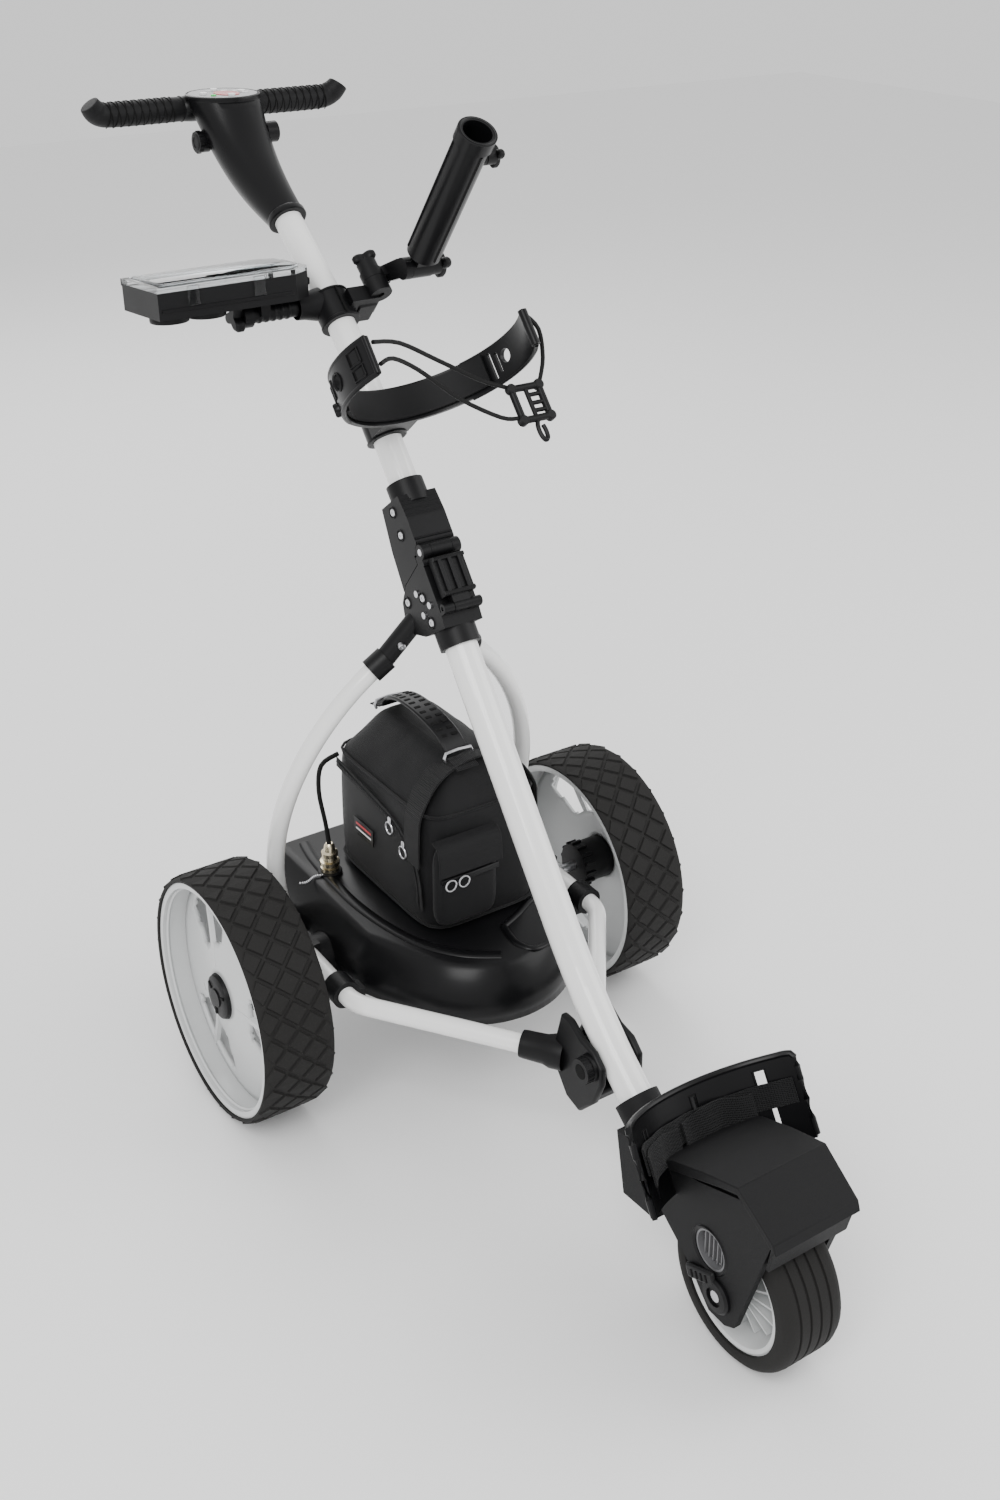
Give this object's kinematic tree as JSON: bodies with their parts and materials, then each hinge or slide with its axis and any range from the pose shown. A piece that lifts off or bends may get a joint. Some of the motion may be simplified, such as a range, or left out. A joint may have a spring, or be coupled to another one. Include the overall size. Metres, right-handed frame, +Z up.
{
  "type": "electric golf trolley",
  "caption": "Three-wheeled electric golf trolley with a folding bent shaft, control head with two grips, battery bag on a motor tray, two bag cradles, umbrella holder and score card tray.",
  "frame": {"origin": "On the ground under the middle of the bounding box", "axes": "+Z up, the trolley drives towards -Y, +X is on the side of the umbrella holder"},
  "size_m": [0.594, 1.214, 1.1295],
  "materials": {
    "black_plastic": "satin moulded",
    "white_tube": "gloss paint",
    "steel": "satin",
    "grey_plastic": "satin",
    "rubber": "matt",
    "black_fabric": "woven nylon",
    "white_plastic": "gloss",
    "clear_plastic": "clear moulded"
  },
  "bodies": {
    "chassis": {"lower_tube": "white_tube", "hoop_tube_left": "white_tube", "hoop_tube_right": "white_tube", "side_tube_left": "white_tube", "side_tube_right": "white_tube", "hinge_base": "black_plastic", "hinge_pins": "steel", "front_bracket": "black_plastic", "side_collars": "black_plastic", "motor_tray": "black_plastic", "axle_housing": "black_plastic", "drive_units": "steel", "controller": "grey_plastic", "tray_socket": "steel", "fork_housing": "black_plastic", "front_axle": "steel", "bag_plate": "black_plastic", "frame_screws": "steel", "lower_strap": "black_fabric"},
    "battery_pack": {"battery_bag": "black_fabric", "battery": "grey_plastic", "battery_lead": "rubber", "lead_plug": "steel"},
    "bracket_knob": {"bracket_knob": "black_plastic"},
    "left_wheel": {"tyre_left": "rubber", "rim_left": "grey_plastic", "hub_left": "black_plastic", "drive_shaft_left": "steel"},
    "right_wheel": {"tyre_right": "rubber", "rim_right": "grey_plastic", "hub_right": "black_plastic", "drive_shaft_right": "steel"},
    "left_button": {"hub_button_left": "black_plastic"},
    "right_button": {"hub_button_right": "black_plastic"},
    "front_wheel": {"front_tyre": "rubber", "front_rim": "grey_plastic"},
    "latch": {"latch_lever": "black_plastic"},
    "shaft": {"upper_tube": "white_tube", "hinge_head": "black_plastic", "head_shell": "black_plastic", "handle_bar": "steel", "grips": "rubber", "panel_face": "grey_plastic", "shaft_clamp": "black_plastic", "upper_cradle": "black_plastic", "cradle_band": "rubber", "elastic_cord": "rubber", "cord_hook": "black_plastic"},
    "select_button": {"select_button": "white_plastic"},
    "up_button": {"up_button": "white_plastic"},
    "down_button": {"down_button": "white_plastic"},
    "timer_button": {"timer_button": "white_plastic"},
    "speed_knob": {"speed_knob": "black_plastic"},
    "mode_knob": {"mode_knob": "black_plastic"},
    "score_holder": {"score_arm": "black_plastic", "score_tray": "black_plastic"},
    "score_lid": {"score_lid": "clear_plastic"},
    "umbrella_swivel": {"umbrella_swivel": "black_plastic"},
    "umbrella_tube": {"umbrella_tube": "black_plastic"},
    "umbrella_screw": {"umbrella_screw": "black_plastic"}
  },
  "joints": [
    {"name": "shaft_fold", "type": "hinge", "parent": "chassis", "child": "shaft", "pos_m": [0, 0.05997, 0.66797], "axis": [1, 0, 0], "range_deg": [0, 120]},
    {"name": "latch_lever", "type": "hinge", "parent": "chassis", "child": "latch", "pos_m": [0, 0.01287, 0.61641], "axis": [1, 0, 0], "range_deg": [0, 40]},
    {"name": "left_wheel", "type": "hinge", "parent": "chassis", "child": "left_wheel", "pos_m": [-0.253, 0.104, 0.15], "axis": [1, 0, 0], "continuous": true},
    {"name": "right_wheel", "type": "hinge", "parent": "chassis", "child": "right_wheel", "pos_m": [0.253, 0.104, 0.15], "axis": [1, 0, 0], "continuous": true},
    {"name": "left_release", "type": "slide", "parent": "left_wheel", "child": "left_button", "axis": [1, 0, 0], "range_m": [0, 0.003], "stiffness_N_per_m": 500, "springref_m": -0.003},
    {"name": "right_release", "type": "slide", "parent": "right_wheel", "child": "right_button", "axis": [-1, 0, 0], "range_m": [0, 0.003], "stiffness_N_per_m": 500, "springref_m": -0.003},
    {"name": "front_wheel", "type": "hinge", "parent": "chassis", "child": "front_wheel", "pos_m": [0, -0.524, 0.087], "axis": [1, 0, 0], "continuous": true},
    {"name": "bracket_knob", "type": "hinge", "parent": "chassis", "child": "bracket_knob", "pos_m": [-0.036, -0.281, 0.19], "axis": [1, 0, 0], "continuous": true},
    {"name": "battery_lift", "type": "slide", "parent": "chassis", "child": "battery_pack", "axis": [0, 0.8, 0.6], "range_m": [0, 0.35]},
    {"name": "speed_knob", "type": "hinge", "parent": "shaft", "child": "speed_knob", "pos_m": [0.04, 0.512, 1.067], "axis": [1, 0, 0], "range_deg": [-150, 150]},
    {"name": "mode_knob", "type": "hinge", "parent": "shaft", "child": "mode_knob", "pos_m": [-0.04, 0.539, 1.058], "axis": [1, 0, 0], "range_deg": [-150, 150]},
    {"name": "select_button", "type": "slide", "parent": "shaft", "child": "select_button", "axis": [0, 0, -1], "range_m": [0, 0.001], "stiffness_N_per_m": 300, "springref_m": -0.001},
    {"name": "up_button", "type": "slide", "parent": "shaft", "child": "up_button", "axis": [0, 0, -1], "range_m": [0, 0.001], "stiffness_N_per_m": 300, "springref_m": -0.001},
    {"name": "down_button", "type": "slide", "parent": "shaft", "child": "down_button", "axis": [0, 0, -1], "range_m": [0, 0.001], "stiffness_N_per_m": 300, "springref_m": -0.001},
    {"name": "timer_button", "type": "slide", "parent": "shaft", "child": "timer_button", "axis": [0, 0, -1], "range_m": [0, 0.001], "stiffness_N_per_m": 300, "springref_m": -0.001},
    {"name": "score_swivel", "type": "hinge", "parent": "shaft", "child": "score_holder", "pos_m": [-0.06, 0.296, 0.9], "axis": [1, 0, 0], "range_deg": [-60, 60]},
    {"name": "score_lid", "type": "hinge", "parent": "score_holder", "child": "score_lid", "pos_m": [-0.143, 0.35963, 0.94348], "axis": [-1, 0, 0], "range_deg": [0, 100]},
    {"name": "umbrella_swivel", "type": "hinge", "parent": "shaft", "child": "umbrella_swivel", "pos_m": [0.0475, 0.264, 0.918], "axis": [0, 0.7466, 0.6652], "range_deg": [-45, 45]},
    {"name": "umbrella_tilt", "type": "hinge", "parent": "umbrella_swivel", "child": "umbrella_tube", "pos_m": [0.085, 0.235, 0.944], "axis": [1, 0, 0], "range_deg": [-60, 40]},
    {"name": "umbrella_screw", "type": "hinge", "parent": "umbrella_tube", "child": "umbrella_screw", "pos_m": [0.11, 0.12968, 1.08376], "axis": [1, 0, 0], "continuous": true}
  ]
}
